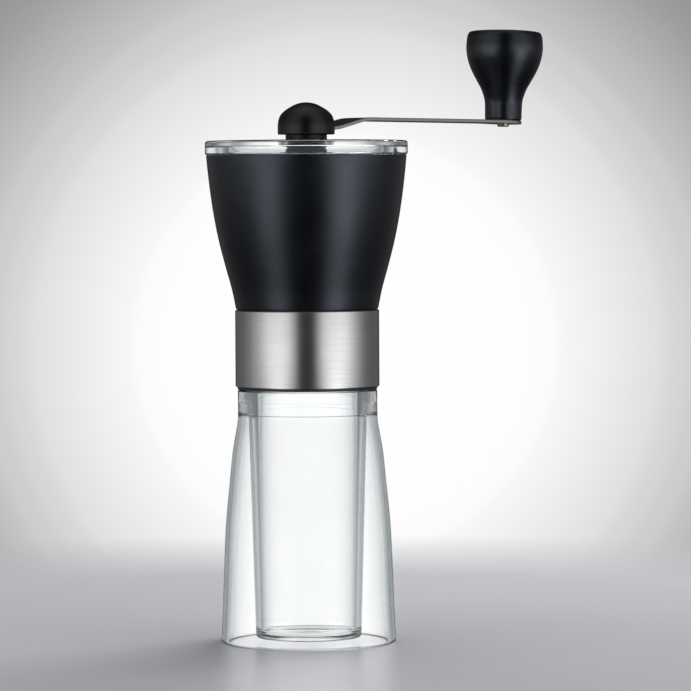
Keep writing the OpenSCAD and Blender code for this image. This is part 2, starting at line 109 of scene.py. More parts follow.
def mix_colours(tree, first, second, factor, blend="MIX"):
    node = tree.nodes.new("ShaderNodeMix")
    node.data_type = "RGBA"
    node.blend_type = blend
    feed(tree, node.inputs["Factor"], factor)
    feed(tree, node.inputs["A"], first)
    feed(tree, node.inputs["B"], second)
    return node.outputs["Result"]


def maths(tree, operation, *values):
    node = tree.nodes.new("ShaderNodeMath")
    node.operation = operation
    for socket, value in zip(node.inputs, values):
        feed(tree, socket, value)
    return node.outputs[0]


def remap(tree, value, low, high, to_low, to_high):
    node = tree.nodes.new("ShaderNodeMapRange")
    node.inputs["From Min"].default_value = low
    node.inputs["From Max"].default_value = high
    node.inputs["To Min"].default_value = to_low
    node.inputs["To Max"].default_value = to_high
    tree.links.new(value, node.inputs["Value"])
    return node.outputs["Result"]


def noise(tree, vector, scale, detail=3.0, rough=0.55):
    node = tree.nodes.new("ShaderNodeTexNoise")
    node.inputs["Scale"].default_value = scale
    node.inputs["Detail"].default_value = detail
    node.inputs["Roughness"].default_value = rough
    tree.links.new(vector, node.inputs["Vector"])
    return node.outputs["Fac"]


def scaled(tree, vector, factor):
    node = tree.nodes.new("ShaderNodeVectorMath")
    node.operation = "SCALE"
    tree.links.new(vector, node.inputs[0])
    feed(tree, node.inputs["Scale"], factor)
    return node.outputs[0]


def stretched(tree, vector, factors):
    node = tree.nodes.new("ShaderNodeVectorMath")
    node.operation = "MULTIPLY"
    node.inputs[1].default_value = factors
    tree.links.new(vector, node.inputs[0])
    return node.outputs[0]


def length_of(tree, vector):
    node = tree.nodes.new("ShaderNodeVectorMath")
    node.operation = "LENGTH"
    tree.links.new(vector, node.inputs[0])
    return node.outputs["Value"]


def place_mm(tree):
    """Object coordinates in millimetres."""
    source = tree.nodes.new("ShaderNodeTexCoord")
    return scaled(tree, source.outputs["Object"], 1.0 / MM)


def bump(tree, shader, height, distance):
    """Distance is in millimetres."""
    node = tree.nodes.new("ShaderNodeBump")
    node.inputs["Strength"].default_value = 1.0
    node.inputs["Distance"].default_value = distance * MM
    tree.links.new(height, node.inputs["Height"])
    tree.links.new(node.outputs["Normal"], shader.inputs["Normal"])


def tilt(tree, low, high, from_within):
    """0 to 1 as the surface turns edge-on, seen from outside or from within."""
    node = tree.nodes.new("ShaderNodeLayerWeight")
    node.inputs["Blend"].default_value = 0.5
    turned = remap(tree, node.outputs["Facing"], low, high, 0.0, 1.0)
    if not from_within:
        return turned
    side = tree.nodes.new("ShaderNodeNewGeometry")
    return maths(tree, "MULTIPLY", turned, side.outputs["Backfacing"])


# ------------------------------------------------------------------ materials
WHITE = (1.0, 1.0, 1.0)
BLUISH = (0.78, 0.86, 1.0)
SATIN_GRAIN, SATIN_DEPTH, SATIN_SPREAD, SATIN_IOR = 2.2, 0.012, 0.06, 1.6
METAL_DEPTH, METAL_SPREAD = 0.004, 0.08
TURNED_LINES = (0.05, 0.05, 9.0)
LONG_LINES = (0.04, 6.0, 6.0)
EVEN_GRAIN = (3.0, 3.0, 3.0)
PLASTIC_IOR = 1.49
# how far a clear face has turned edge-on when its painted edge shade starts and ends, and
# whether that is seen from within
SKIRT_TILT = (0.655, 0.71, False)
BORE_TILT = (0.25, 0.28, True)


def new_material(name):
    material = bpy.data.materials.new(name)
    material.use_nodes = True
    tree = material.node_tree
    return material, tree, tree.nodes["Principled BSDF"]


def satin_plastic(name, dark, light, rough, gloss_tint=WHITE):
    material, tree, shader = new_material(name)
    place = place_mm(tree)
    clouds = noise(tree, place, 0.09, 4.0)
    feed(tree, shader.inputs["Base Color"],
         mix_colours(tree, dark, light, remap(tree, clouds, 0.3, 0.7, 0, 1)))
    feed(tree, shader.inputs["Roughness"],
         remap(tree, clouds, 0.3, 0.7, rough - SATIN_SPREAD / 2,
               rough + SATIN_SPREAD / 2))
    shader.inputs["IOR"].default_value = SATIN_IOR
    shader.inputs["Specular Tint"].default_value = (*gloss_tint, 1.0)
    bump(tree, shader, noise(tree, place, SATIN_GRAIN, 2.0), SATIN_DEPTH)
    return material


def clear_plastic(name, tint, rough=0.0, edge=None, edge_tilt=None, clear_edge=1.0):
    """Clear plastic; the edge tint is painted shade on faces turned edge-on, drawn for the dark
    edges of clear walls and the longer way through a wall's edge.
    """
    material, tree, shader = new_material(name)
    place = place_mm(tree)
    clouds = noise(tree, place, 0.05)
    colour = mix_colours(tree, tint, tuple(min(1.0, c * 1.004) for c in tint), clouds)
    # painted shade: the colour turns to the edge tint as the face turns edge-on
    if edge:
        colour = mix_colours(tree, colour, edge, tilt(tree, *edge_tilt))
    feed(tree, shader.inputs["Base Color"], colour)
    feed(tree, shader.inputs["Roughness"],
         remap(tree, clouds, 0.35, 0.75, rough, rough * 1.15 + 0.003))
    shader.inputs["Transmission Weight"].default_value = 1.0
    # where the edge shade is painted, the wall also lets less light through
    if clear_edge < 1.0:
        feed(tree, shader.inputs["Transmission Weight"],
             remap(tree, tilt(tree, *edge_tilt), 0.0, 1.0, 1.0, clear_edge))
    shader.inputs["IOR"].default_value = PLASTIC_IOR
    bump(tree, shader, noise(tree, place, 0.08, 2.0), 0.02)
    return material


def turned_metal(name, dark, light, rough, lines=TURNED_LINES):
    """Metal with fine lines, packed closest along the axis with the largest factor."""
    material, tree, shader = new_material(name)
    place = place_mm(tree)
    streaks = noise(tree, stretched(tree, place, lines), 1.0, 4.0, 0.6)
    clouds = noise(tree, place, 0.08)
    feed(tree, shader.inputs["Base Color"],
         mix_colours(tree, dark, light, remap(tree, streaks, 0.3, 0.7, 0, 1)))
    feed(tree, shader.inputs["Roughness"],
         remap(tree, maths(tree, "ADD", streaks, clouds), 0.7, 1.3,
               rough - METAL_SPREAD / 2, rough + METAL_SPREAD / 2))
    shader.inputs["Metallic"].default_value = 1.0
    bump(tree, shader, streaks, METAL_DEPTH)
    return material


def ceramic(name):
    material, tree, shader = new_material(name)
    place = place_mm(tree)
    clouds = noise(tree, place, 0.2, 4.0)
    feed(tree, shader.inputs["Base Color"],
         mix_colours(tree, (0.74, 0.72, 0.66), (0.86, 0.85, 0.8), clouds))
    feed(tree, shader.inputs["Roughness"], remap(tree, clouds, 0.3, 0.7, 0.42, 0.6))
    shader.inputs["Subsurface Weight"].default_value = 0.05
    shader.inputs["Subsurface Radius"].default_value = (0.001, 0.001, 0.001)
    bump(tree, shader, noise(tree, place, 3.0), 0.02)
    return material


CLEAR_TINT = (0.99, 0.993, 0.992)
CLEAR = clear_plastic("clear", CLEAR_TINT)
# the bore is finely frosted, with a painted grey shade where it turns edge-on seen from within,
# where it also lets less light through
FROSTED_AND_EDGE_SHADED = clear_plastic("clear_frosted_edge_shaded", (0.97, 0.98, 0.98), 0.05, (0.78, 0.81, 0.85),
                        BORE_TILT, 0.3)
# painted shade: the skirt's outer faces darken to a dark grey as they turn edge-on
SKIRT_FACE = clear_plastic("clear_skirt_face", CLEAR_TINT, 0.0, (0.23, 0.25, 0.27),
                           SKIRT_TILT)
FOOT = clear_plastic("clear_foot", (0.8, 0.82, 0.85), 0.35)
LID_CLEAR = clear_plastic("lid_clear", (0.95, 0.96, 0.955))
HOPPER = satin_plastic("hopper_satin", (0.003, 0.004, 0.0062), (0.0048, 0.0062, 0.0088),
                       0.25, BLUISH)
HUB = satin_plastic("hub_satin", (0.003, 0.0035, 0.0045), (0.005, 0.0056, 0.0068), 0.3,
                    (0.6, 0.62, 0.66))
KNOB = satin_plastic("knob_satin", (0.0028, 0.0036, 0.005), (0.0045, 0.0056, 0.0072),
                     0.25, BLUISH)
COLLAR = satin_plastic("collar_satin", (0.012, 0.012, 0.013), (0.018, 0.018, 0.019), 0.45)
SEAL = satin_plastic("seal_rubber", (0.02, 0.02, 0.021), (0.03, 0.03, 0.031), 0.75)
WASHER = satin_plastic("washer_pom", (0.62, 0.61, 0.57), (0.7, 0.69, 0.65), 0.5)
BAND = turned_metal("band_steel", (0.5, 0.5, 0.5), (0.6, 0.6, 0.6), 0.2)
ARM = turned_metal("arm_steel", (0.35, 0.35, 0.345), (0.39, 0.39, 0.385), 0.3, LONG_LINES)
STEEL = turned_metal("shaft_steel", (0.48, 0.48, 0.49), (0.58, 0.58, 0.59), 0.25,
                     EVEN_GRAIN)
BRASS = turned_metal("bush_brass", (0.55, 0.38, 0.16), (0.68, 0.5, 0.24), 0.3, EVEN_GRAIN)
CERAMIC = ceramic("burr_ceramic")

FINISH = {
    "seal_rubber": SEAL, "collar_plastic": COLLAR, "bush_brass": BRASS,
    "burr_ceramic": CERAMIC, "screw_steel": STEEL, "shaft_steel": STEEL,
    "arm_steel": ARM, "washer_plastic": WASHER, "clear_plastic": CLEAR,
    "lid_plastic": LID_CLEAR, "band_steel": BAND, "hopper_plastic": HOPPER,
    "hub_plastic": HUB, "knob_plastic": KNOB,
}


def finish_cad_nodes():
    for row in frame["record"]["subparts"]:
        node = nodes[row["node"]]
        node.data.materials.clear()
        node.data.materials.append(FINISH[row["material_slot"]])


# ------------------------------------------------------------------ mesh helpers
# segments round the axis of the wide pieces and of the narrow ones
FINE, PLAIN = 192, 128


def smooth(points, steps):
    """Catmull-Rom curve through the points."""
    out = []
    last = len(points) - 1
    for i in range(last):
        a, b, c, d = (points[max(0, min(last, i + k))] for k in (-1, 0, 1, 2))
        for k in range(steps):
            t = k / steps
            out.append(tuple(
                0.5 * (2 * b[j] + (c[j] - a[j]) * t
                       + (2 * a[j] - 5 * b[j] + 4 * c[j] - d[j]) * t * t
                       + (3 * b[j] - a[j] - 3 * c[j] + d[j]) * t * t * t)
                for j in (0, 1)))
    out.append(tuple(points[last]))
    return out


def rounded(points, steps=5):
    """Closed outline of (r, z) or (r, z, corner radius)."""
    out = []
    count = len(points)
    for i, p in enumerate(points):
        if len(p) < 3:
            out.append(tuple(p))
            continue
        here = Vector(p[:2])
        back = Vector(points[i - 1][:2]) - here
        on = Vector(points[(i + 1) % count][:2]) - here
        cut = min(p[2], 0.48 * back.length, 0.48 * on.length)
        start, end = here + back.normalized() * cut, here + on.normalized() * cut
        for k in range(steps + 1):
            t = k / steps
            q = start * (1 - t) ** 2 + here * 2 * t * (1 - t) + end * t * t
            out.append((q.x, q.y))
    return out


def finish_mesh(name, bm, body, material, replaced, sharp=40.0, place=None):
    """Turn the mesh into a smooth piece on its body; sharp is an angle in degrees."""
    bmesh.ops.remove_doubles(bm, verts=bm.verts, dist=1e-7)
    if place is not None:
        bm.transform(place)
    bmesh.ops.recalc_face_normals(bm, faces=bm.faces)
    mesh = bpy.data.meshes.new(name)
    bm.to_mesh(mesh)
    bm.free()
    for polygon in mesh.polygons:
        polygon.use_smooth = True
    mesh.set_sharp_from_angle(angle=math.radians(sharp))
    obj = bpy.data.objects.new(name, mesh)
    scene.collection.objects.link(obj)
    mesh.materials.append(material)
    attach(obj, body)
    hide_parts(*replaced)
    return obj


def add_lathe(bm, outline, segments):
    """A closed outline in millimetres turned about the vertical axis."""
    rings = []
    for r, z in outline:
        if r < 1e-6:
            rings.append([bm.verts.new((0.0, 0.0, z * MM))])
        else:
            rings.append([
                bm.verts.new((r * math.cos(a) * MM, r * math.sin(a) * MM, z * MM))
                for a in (2 * math.pi * k / segments for k in range(segments))])
    for i, ring in enumerate(rings):
        other = rings[(i + 1) % len(rings)]
        if len(ring) == 1 and len(other) == 1:
            continue
        for k in range(segments):
            n = (k + 1) % segments
            if len(ring) == 1:
                bm.faces.new((ring[0], other[k], other[n]))
            elif len(other) == 1:
                bm.faces.new((ring[k], ring[n], other[0]))
            else:
                bm.faces.new((ring[k], ring[n], other[n], other[k]))


def lathe(name, outline, body, material, replaced, segments, place=None):
    bm = bmesh.new()
    add_lathe(bm, outline, segments)
    return finish_mesh(name, bm, body, material, replaced, place=place)


def add_thread(bm, section, radius, z0, turns, pitch, steps, lead):
    """A closed section of (dr, dz) led round the axis, rising out of the wall over
    the first and last lead steps."""
    count = round(turns * steps)
    rings = []
    for i in range(count + 1):
        a = 2 * math.pi * i / steps
        k = max(0.05, min(1.0, i / lead, (count - i) / lead))
        rings.append([
            bm.verts.new((
                (radius + (dr * k if dr > 0 else dr)) * math.cos(a) * MM,
                (radius + (dr * k if dr > 0 else dr)) * math.sin(a) * MM,
                (z0 + pitch * i / steps + dz) * MM))
            for dr, dz in section])
    size = len(section)
    bm.faces.new(rings[0])
    bm.faces.new(rings[-1])
    for first, second in zip(rings, rings[1:]):
        for j in range(size):
            n = (j + 1) % size
            bm.faces.new((first[j], first[n], second[n], second[j]))


# ------------------------------------------------------------------ cup
FOOT_IN_R, FOOT_OUT_R = 29.2, 31.35
SKIRT_WALL = 2.6
NECK_R = 25.1
SLEEVE_R = 23.6
SLEEVE_GAP = 0.1
SHOULDER_Z = 90.7
LEDGE_R, LEDGE_Z = 22.4, 86.4
LEDGE_CRACK = 0.06
AIR_TOP_R, AIR_TOP_Z = 21.3, 82.2
SPIGOT_R, SPIGOT_Z = 22.3, 101.5
BORE_R, BORE_MOUTH_R = 18.02, 18.4
CUP_FOOT_Z, CUP_FLOOR_Z = 1.5, 3.1
# the small round mark in the middle of the inner cup's floor
GATE_R, GATE_RISE = 1.3, 0.35
THREAD_PITCH, THREAD_TURNS, THREAD_Z = 4.0, 1.75, 93.2
THREAD_SECTION = [(-0.3, -1.0), (1.15, -0.35), (1.15, 0.35), (-0.3, 1.0)]
# where each of the cup's materials begins
BORE_FACE_R, FOOT_FACE_Z, SKIRT_FACE_R = 18.6, 0.6, 19.0
# a face looks outwards where its unit normal times its place from the axis is over this
OUTWARD_PART = 5.0


def cup_outline():
    skirt = smooth([
        (31.5, 0.9), (30.95, 11), (30.1, 34), (29.4, 45.5), (28.25, 57),
        (27.05, 68.6), (25.35, 78.6), (NECK_R, AIR_TOP_Z + 0.4)], 8)
    skirt_inside = [(r - SKIRT_WALL, z) for r, z in skirt if z < AIR_TOP_Z - 0.6]
    foot = [(FOOT_IN_R, 0.0, 0.4), (FOOT_OUT_R, 0.0, 0.7)]
    sleeve = [(NECK_R, SHOULDER_Z, 0.5), (SLEEVE_R, SHOULDER_Z), (SLEEVE_R, LEDGE_Z)]
    crack = [(LEDGE_R, LEDGE_Z), (LEDGE_R, LEDGE_Z + LEDGE_CRACK),
             (SLEEVE_R - SLEEVE_GAP, LEDGE_Z + LEDGE_CRACK)]
    spigot = [(SLEEVE_R - SLEEVE_GAP, SHOULDER_Z), (SPIGOT_R, SHOULDER_Z, 0.25),
              (SPIGOT_R, SPIGOT_Z, 0.5), (BORE_MOUTH_R, SPIGOT_Z, 0.6)]
    bore = [(BORE_R, AIR_TOP_Z), (16.6, CUP_FLOOR_Z + 1.7, 1.2), (15.2, CUP_FLOOR_Z, 1.4),
            (GATE_R + 0.4, CUP_FLOOR_Z, 0.2), (GATE_R, CUP_FLOOR_Z + GATE_RISE, 0.2),
            (0.0, CUP_FLOOR_Z + GATE_RISE)]
    underside = [(0.0, CUP_FOOT_Z), (19.1, CUP_FOOT_Z, 1.4), (AIR_TOP_R, AIR_TOP_Z, 0.14),
                 (AIR_TOP_R + 1.0, AIR_TOP_Z, 0.14)]
    return rounded(foot + skirt + sleeve + crack + spigot + bore + underside
                   + list(reversed(skirt_inside)) + [(28.9, 0.6)])


def make_cup():
    """The skirt and the inner cup as one clear body, with the gap between neck and
    sleeve and a crack at the ledge left open. The bore of the neck is finely frosted,
    with a painted grey shade where it turns edge-on, seen from within."""
    bm = bmesh.new()
    add_lathe(bm, cup_outline(), FINE)
    add_thread(bm, THREAD_SECTION, SPIGOT_R, THREAD_Z, THREAD_TURNS, THREAD_PITCH, 96, 14)
    cup = finish_mesh("cup_clear", bm, "cup", CLEAR, ["cup_inner", "cup_skirt"],
                      50.0)
    for material in (FROSTED_AND_EDGE_SHADED, FOOT, SKIRT_FACE):
        cup.data.materials.append(material)
    for polygon in cup.data.polygons:
        x, y, z = polygon.center
        radius = math.hypot(x, y)
        outward = polygon.normal.dot(Vector((x, y, 0.0))) > OUTWARD_PART * MM
        if z > AIR_TOP_Z * MM and radius < BORE_FACE_R * MM:
            polygon.material_index = 1
        elif z < FOOT_FACE_Z * MM:
            polygon.material_index = 2
        # the skirt's outward faces take the painted dark edge shade
        elif z < AIR_TOP_Z * MM and radius > SKIRT_FACE_R * MM and outward:
            polygon.material_index = 3


# ------------------------------------------------------------------ steel band
BAND_R, BAND_WALL = 25.92, 1.0
BAND_Z0, BAND_Z1 = 91.9, 119.4


def make_band():
    inside = BAND_R - BAND_WALL
    lathe("band", rounded([
        (inside, BAND_Z0, 0.1), (BAND_R, BAND_Z0, 0.9),
        (BAND_R, BAND_Z1, 0.25), (inside, BAND_Z1, 0.1)], 7),
        "mill", BAND, ["steel_band"], FINE)


# ------------------------------------------------------------------ hopper
RIM_R, RIM_Z = 36.0, 175.05
HOPPER_WALL = 2.2
HOPPER_Z0 = 119.7
THROAT_R, THROAT_SEAT_R, THROAT_SEAT_Z = 18.85, 19.8, 121.4
# the wall has an even thickness between these heights
EVEN_WALL_Z0, EVEN_WALL_Z1 = 136, RIM_Z - 7


def make_hopper():
    side = smooth([
        (25.75, 120.5), (27.05, 126.9), (29.4, 135.5), (31.6, 144.2), (33.3, 152.8),
        (34.6, 161.5), (35.6, 170.1), (RIM_R, RIM_Z - 0.5)], 8)
    inside = [(r - HOPPER_WALL, z) for r, z in side
              if EVEN_WALL_Z0 < z < EVEN_WALL_Z1]
    foot = [(THROAT_R, HOPPER_Z0), (25.55, HOPPER_Z0, 0.3)]
    rim = [(RIM_R, RIM_Z, 0.4), (30.0, RIM_Z, 0.3), (30.0, RIM_Z - 2.4, 0.2),
           (33.2, RIM_Z - 6.2, 1.0)]
    throat = [(24.2, 131.0, 2.0), (20.0, 124.0, 0.5), (THROAT_SEAT_R, 123.4, 0.2),
              (THROAT_SEAT_R, THROAT_SEAT_Z, 0.2), (THROAT_R, THROAT_SEAT_Z, 0.1)]
    lathe("hopper_bowl", rounded(foot + side + rim + list(reversed(inside)) + throat),
          "mill", HOPPER, ["hopper"], FINE)


# ------------------------------------------------------------------ lid
LID_R, LID_BORE_R = 36.45, 6.98
LID_Z0, LID_PLATE_Z, LID_Z1 = 175.1, 178.2, 180.2
LID_RING_DEPTH = 4.2


def make_lid():
    ring_z = LID_Z0 - LID_RING_DEPTH
    lathe("lid_clear_cover", rounded([
        (LID_BORE_R, LID_PLATE_Z, 0.1), (28.0, LID_PLATE_Z, 0.5), (28.1, ring_z, 0.4),
        (29.5, ring_z, 0.4), (29.6, LID_Z0, 0.15), (LID_R, LID_Z0, 0.9),
        (LID_R, LID_Z1, 1.2), (LID_BORE_R, LID_Z1, 0.1)], 7),
        "lid", LID_CLEAR, ["lid"], FINE)


# ------------------------------------------------------------------ hub
DOME_R, DOME_Z0 = 10.25, 182.4
HUB_NECK_R, HUB_NECK_Z = 7.45, LID_Z1 + 0.1
STEM_R, STEM_Z = 6.9, 166.0
SOCKET_R, SOCKET_TOP_Z = 5.6, 181.4
CLIP_R, CLIP_Z0, CLIP_Z1 = 6.3, 176.25, 178.15


def make_hub():
    dome = smooth([
        (DOME_R, 183.4), (10.2, 186.2), (9.85, 188.0), (9.2, 189.45), (7.75, 190.95),
        (5.7, 192.3), (3.4, 193.4), (1.5, 193.85), (0.0, 193.95)], 6)
    socket = [(0.0, SOCKET_TOP_Z), (SOCKET_R, SOCKET_TOP_Z, 0.1), (SOCKET_R, STEM_Z, 0.2)]
    stem = [(STEM_R, STEM_Z, 0.5), (STEM_R, CLIP_Z0, 0.05), (CLIP_R, CLIP_Z0),
            (CLIP_R, CLIP_Z1), (STEM_R, CLIP_Z1), (STEM_R, HUB_NECK_Z)]
    neck = [(HUB_NECK_R, HUB_NECK_Z, 0.15), (HUB_NECK_R, DOME_Z0, 0.25)]
    lathe("hub_dome", rounded([(DOME_R, DOME_Z0, 0.35)] + dome + socket + stem + neck),
          "crank", HUB, ["hub_cap"], PLAIN)


# ------------------------------------------------------------------ arm
CRANK = 98.9
LEAN = math.radians(1.8)
ARM_Z, ARM_ROOT_Z = 187.6, 184.6
ARM_W, ARM_T = 13.8, 1.25
ARM_START_X = -4
ARM_BENDS = (9.0, 23.5)
ARM_FALL = 0.3
DROOP_X = CRANK - 6.5
DROOP_Z = ARM_Z + (CRANK - DROOP_X) * math.tan(LEAN)
BEND_REACH = 3.0
BEND_STEP, MIDDLE_STEP, END_STEP_DEG = 1.5, 7.5, 6
MIDDLE_X = 40
ARM_BEVEL = 0.28


def soft_ramp(d):
    """0 before the bend and d after it, with an arc of BEND_REACH to each side."""
    if d <= -BEND_REACH:
        return 0.0
    if d >= BEND_REACH:
        return d
    return (d + BEND_REACH) ** 2 / (4 * BEND_REACH)


def arm_height(x):
    """Middle of the strip above the table, with soft bends."""
    rise = (DROOP_Z + ARM_FALL - ARM_ROOT_Z) / (ARM_BENDS[1] - ARM_BENDS[0])
    fall = -ARM_FALL / (DROOP_X - ARM_BENDS[1])
    return (ARM_ROOT_Z + rise * soft_ramp(x - ARM_BENDS[0])
            + (fall - rise) * soft_ramp(x - ARM_BENDS[1])
            + (-math.tan(LEAN) - fall) * soft_ramp(x - DROOP_X))


def arm_stations():
    """Places along the strip: close at the bends, wide between, and round the end."""
    bends = [ARM_START_X + BEND_STEP * k for k in range(25)]
    middle = [MIDDLE_X + MIDDLE_STEP * k for k in range(8)]
    end = [CRANK + ARM_W / 2 * math.sin(math.radians(END_STEP_DEG * k))
           for k in range(15)]
    return bends + middle + end


def arm_face(bm, stations, offset):
    """The strip's upper or lower face, as its pairs of edge points and its tip."""
    half = ARM_W / 2
    row = []
    for x in stations:
        w = half if x <= CRANK else math.sqrt(max(0.0, half ** 2 - (x - CRANK) ** 2))
        z = arm_height(x) + offset
        row.append((bm.verts.new((x * MM, w * MM, z * MM)),
                    bm.verts.new((x * MM, -w * MM, z * MM))))
    tip = bm.verts.new(((CRANK + half) * MM, 0.0,
                        (arm_height(CRANK + half) + offset) * MM))
    for first, second in zip(row, row[1:]):
        bm.faces.new((first[0], first[1], second[1], second[0]))
    bm.faces.new((row[-1][0], row[-1][1], tip))
    return row, tip


def make_arm():
    bm = bmesh.new()
    stations = arm_stations()
    top, top_tip = arm_face(bm, stations, ARM_T / 2)
    low, low_tip = arm_face(bm, stations, -ARM_T / 2)
    for s in (0, 1):
        for (a, b), (c, d) in zip(zip(top, top[1:]), zip(low, low[1:])):
            bm.faces.new((a[s], b[s], d[s], c[s]))
        bm.faces.new((top[-1][s], top_tip, low_tip, low[-1][s]))
    bm.faces.new((top[0][0], top[0][1], low[0][1], low[0][0]))
    bmesh.ops.recalc_face_normals(bm, faces=bm.faces)
    edges = [e for e in bm.edges if len(e.link_faces) == 2
             and e.calc_face_angle() > math.radians(50)]
    bmesh.ops.bevel(bm, geom=edges, offset=ARM_BEVEL * MM, segments=3, profile=0.6,
                    affect="EDGES")
    finish_mesh("arm_strip", bm, "crank", ARM, ["arm"], 35.0)


# ------------------------------------------------------------------ knob
# drawn about its own pin, which leans outwards from the arm
KNOB_R, KNOB_H, KNOB_FOOT = 14.4, 33.7, 0.775
KNOB_TOP = KNOB_FOOT + KNOB_H
PIN_BORE_R = 2.07
CAP_STUD_R, CAP_STUD_H = 4.15, 10
CAP_BORE_R, CAP_BORE_Z = 4.2, 19.75
CAP_SEAT, CAP_EDGE = 1.35, 1.3
ON_PIN = (Matrix.Translation(Vector((CRANK, 0.0, ARM_Z)) * MM)
          @ Matrix.Rotation(LEAN, 4, "Y"))


def make_knob():
    side = [(KNOB_R - dr, KNOB_FOOT + h) for dr, h in smooth([
        (7.5, 1.2), (7.45, 3.9), (7.2, 7.6), (5.95, 11.4), (4.4, 14.3), (2.85, 17.1),
        (1.5, 20.0), (0.55, 22.9), (0.05, 26.0), (0.0, 28.4), (0.25, 31.2)], 6)]
    foot = [(PIN_BORE_R, KNOB_FOOT, 0.1), (KNOB_R - 7.6, KNOB_FOOT, 0.5)]
    seat = [(KNOB_R - 0.6, KNOB_TOP - CAP_SEAT, 0.3),
            (CAP_BORE_R, KNOB_TOP - CAP_SEAT, 0.1)]
    bore = [(CAP_BORE_R, CAP_BORE_Z), (PIN_BORE_R, CAP_BORE_Z)]
    lathe("knob_grip", rounded(foot + side + seat + bore),
          "knob", KNOB, ["knob_body"], PLAIN, ON_PIN)


def make_crown():
    edge_z = KNOB_TOP - CAP_EDGE
    stud_z = KNOB_TOP - CAP_STUD_H
    lathe("knob_crown", rounded([
        (0.0, stud_z), (CAP_STUD_R, stud_z, 0.1), (CAP_STUD_R, edge_z, 0.1),
        (KNOB_R - 0.65, edge_z, 0.15), (KNOB_R - 1.0, KNOB_TOP - 0.8, 0.4),
        (KNOB_R - 1.9, KNOB_TOP - 0.45, 0.6), (KNOB_R - 4.5, KNOB_TOP - 0.2, 1.5),
        (KNOB_R - 9.0, KNOB_TOP), (0.0, KNOB_TOP)]),
        "knob", KNOB, ["knob_cap"], PLAIN, ON_PIN)


# ------------------------------------------------------------------ floor and card
FLOOR_R = 0.9
FLOOR_FADE = (0.24, 0.42)
CARD_R = 0.034
CARD_DROP = 0.0002
# painted contact shadow: the card darkens between these radii, in millimetres, where the rim stands
# on it
CARD_PAINTED_SHADOW = (27.5, 29.5)


def disc(name, radius, segments, material):
    bm = bmesh.new()
    bmesh.ops.create_circle(bm, cap_ends=True, radius=radius, segments=segments)
    mesh = bpy.data.meshes.new(name)
    bm.to_mesh(mesh)
    bm.free()
    mesh.materials.append(material)
    obj = bpy.data.objects.new(name, mesh)
    scene.collection.objects.link(obj)
    return obj


def floor_material():
    material, tree, shader = new_material("floor_pale")
    feed(tree, shader.inputs["Base Color"],
         mix_colours(tree, (0.68, 0.68, 0.72), (0.7, 0.7, 0.74),
                     noise(tree, place_mm(tree), 0.01, 2.0)))
    shader.inputs["Roughness"].default_value = 0.35
    source = tree.nodes.new("ShaderNodeTexCoord")
    feed(tree, shader.inputs["Alpha"],
         remap(tree, length_of(tree, source.outputs["Object"]), *FLOOR_FADE, 1.0, 0.0))
    return material


def card_material():
    material, tree, shader = new_material("card_painted_glow")
    place = place_mm(tree)
    pale = mix_colours(tree, (0.64, 0.65, 0.66), (0.72, 0.73, 0.75),
                       noise(tree, place, 0.02, 2.0))
    # painted contact shadow under the rim
    painted_shadow = remap(tree, length_of(tree, place), *CARD_PAINTED_SHADOW, 1.0, 0.12)
    # painted light: the card glows in place of the floor lit under the cup
    feed(tree, shader.inputs["Emission Color"], scaled(tree, pale, painted_shadow))
    shader.inputs["Emission Strength"].default_value = 1.0
    shader.inputs["Base Color"].default_value = (0.0, 0.0, 0.0, 1.0)
    return material


def make_floor():
    """The clear cup shows the bright sheet behind it, not the table, and the black
    parts mirror the studio's dark lower part."""
    floor = disc("floor", FLOOR_R, 128, floor_material())
    floor.visible_transmission = False
    floor.visible_glossy = False


def make_card():
    """A pale card under the cup, seen only through the clear walls; it glows as painted light
    in place of the lit floor, with a painted contact shadow under the rim.
    """
    card = disc("card", CARD_R, 96, card_material())
    card.location = (0.0, 0.0, -CARD_DROP)
    for ray in ("camera", "diffuse", "glossy", "shadow"):
        setattr(card, "visible_" + ray, False)


# ------------------------------------------------------------------ world
# The camera sees a pale backdrop with a soft glow. What lights the object is a dark
# studio with two tall soft boxes in front of it, to either side, and a dark gap
# between them where the camera stands. What shines through the clear parts is a
# bright sheet behind and below them, dark at both sides.
# Each list gives (position, level). A bearing is 0 on the camera's side and 180
# straight behind the object, a height is in degrees above the horizon, and the
# backdrop's position is the tangent of the angle off the camera's aim.
BACKDROP = [
    (0.0, 1.0), (0.05, 0.98), (0.0566, 0.93), (0.0826, 0.737), (0.0905, 0.638),
    (0.0976, 0.558), (0.1237, 0.328), (0.16, 0.3), (0.3, 0.42)]
WALLS = [
    (-180, 0.03), (-165, 0.06), (-150, 0.13), (-125, 0.17), (-104, 0.31), (-81, 0.72),
    (-71, 1.05), (-62, 1.3), (-44, 1.44), (-30, 1.25), (-21, 0.72), (-12, 0.07),
    (0, 0.04), (10, 0.05), (18, 0.54), (27, 1.2), (37, 1.4), (52, 1.52), (64, 1.42),
    (73, 1.1), (84, 0.7), (95, 0.38), (108, 0.2), (125, 0.15), (150, 0.13),
    (165, 0.06), (180, 0.03)]
WINDOW = [
    (-90, 0.53), (-12, 0.75), (-4, 1.08), (0, 1.05), (3, 0.8), (9, 0.42), (30, 0.4),
    (48, 0.5), (90, 0.42)]
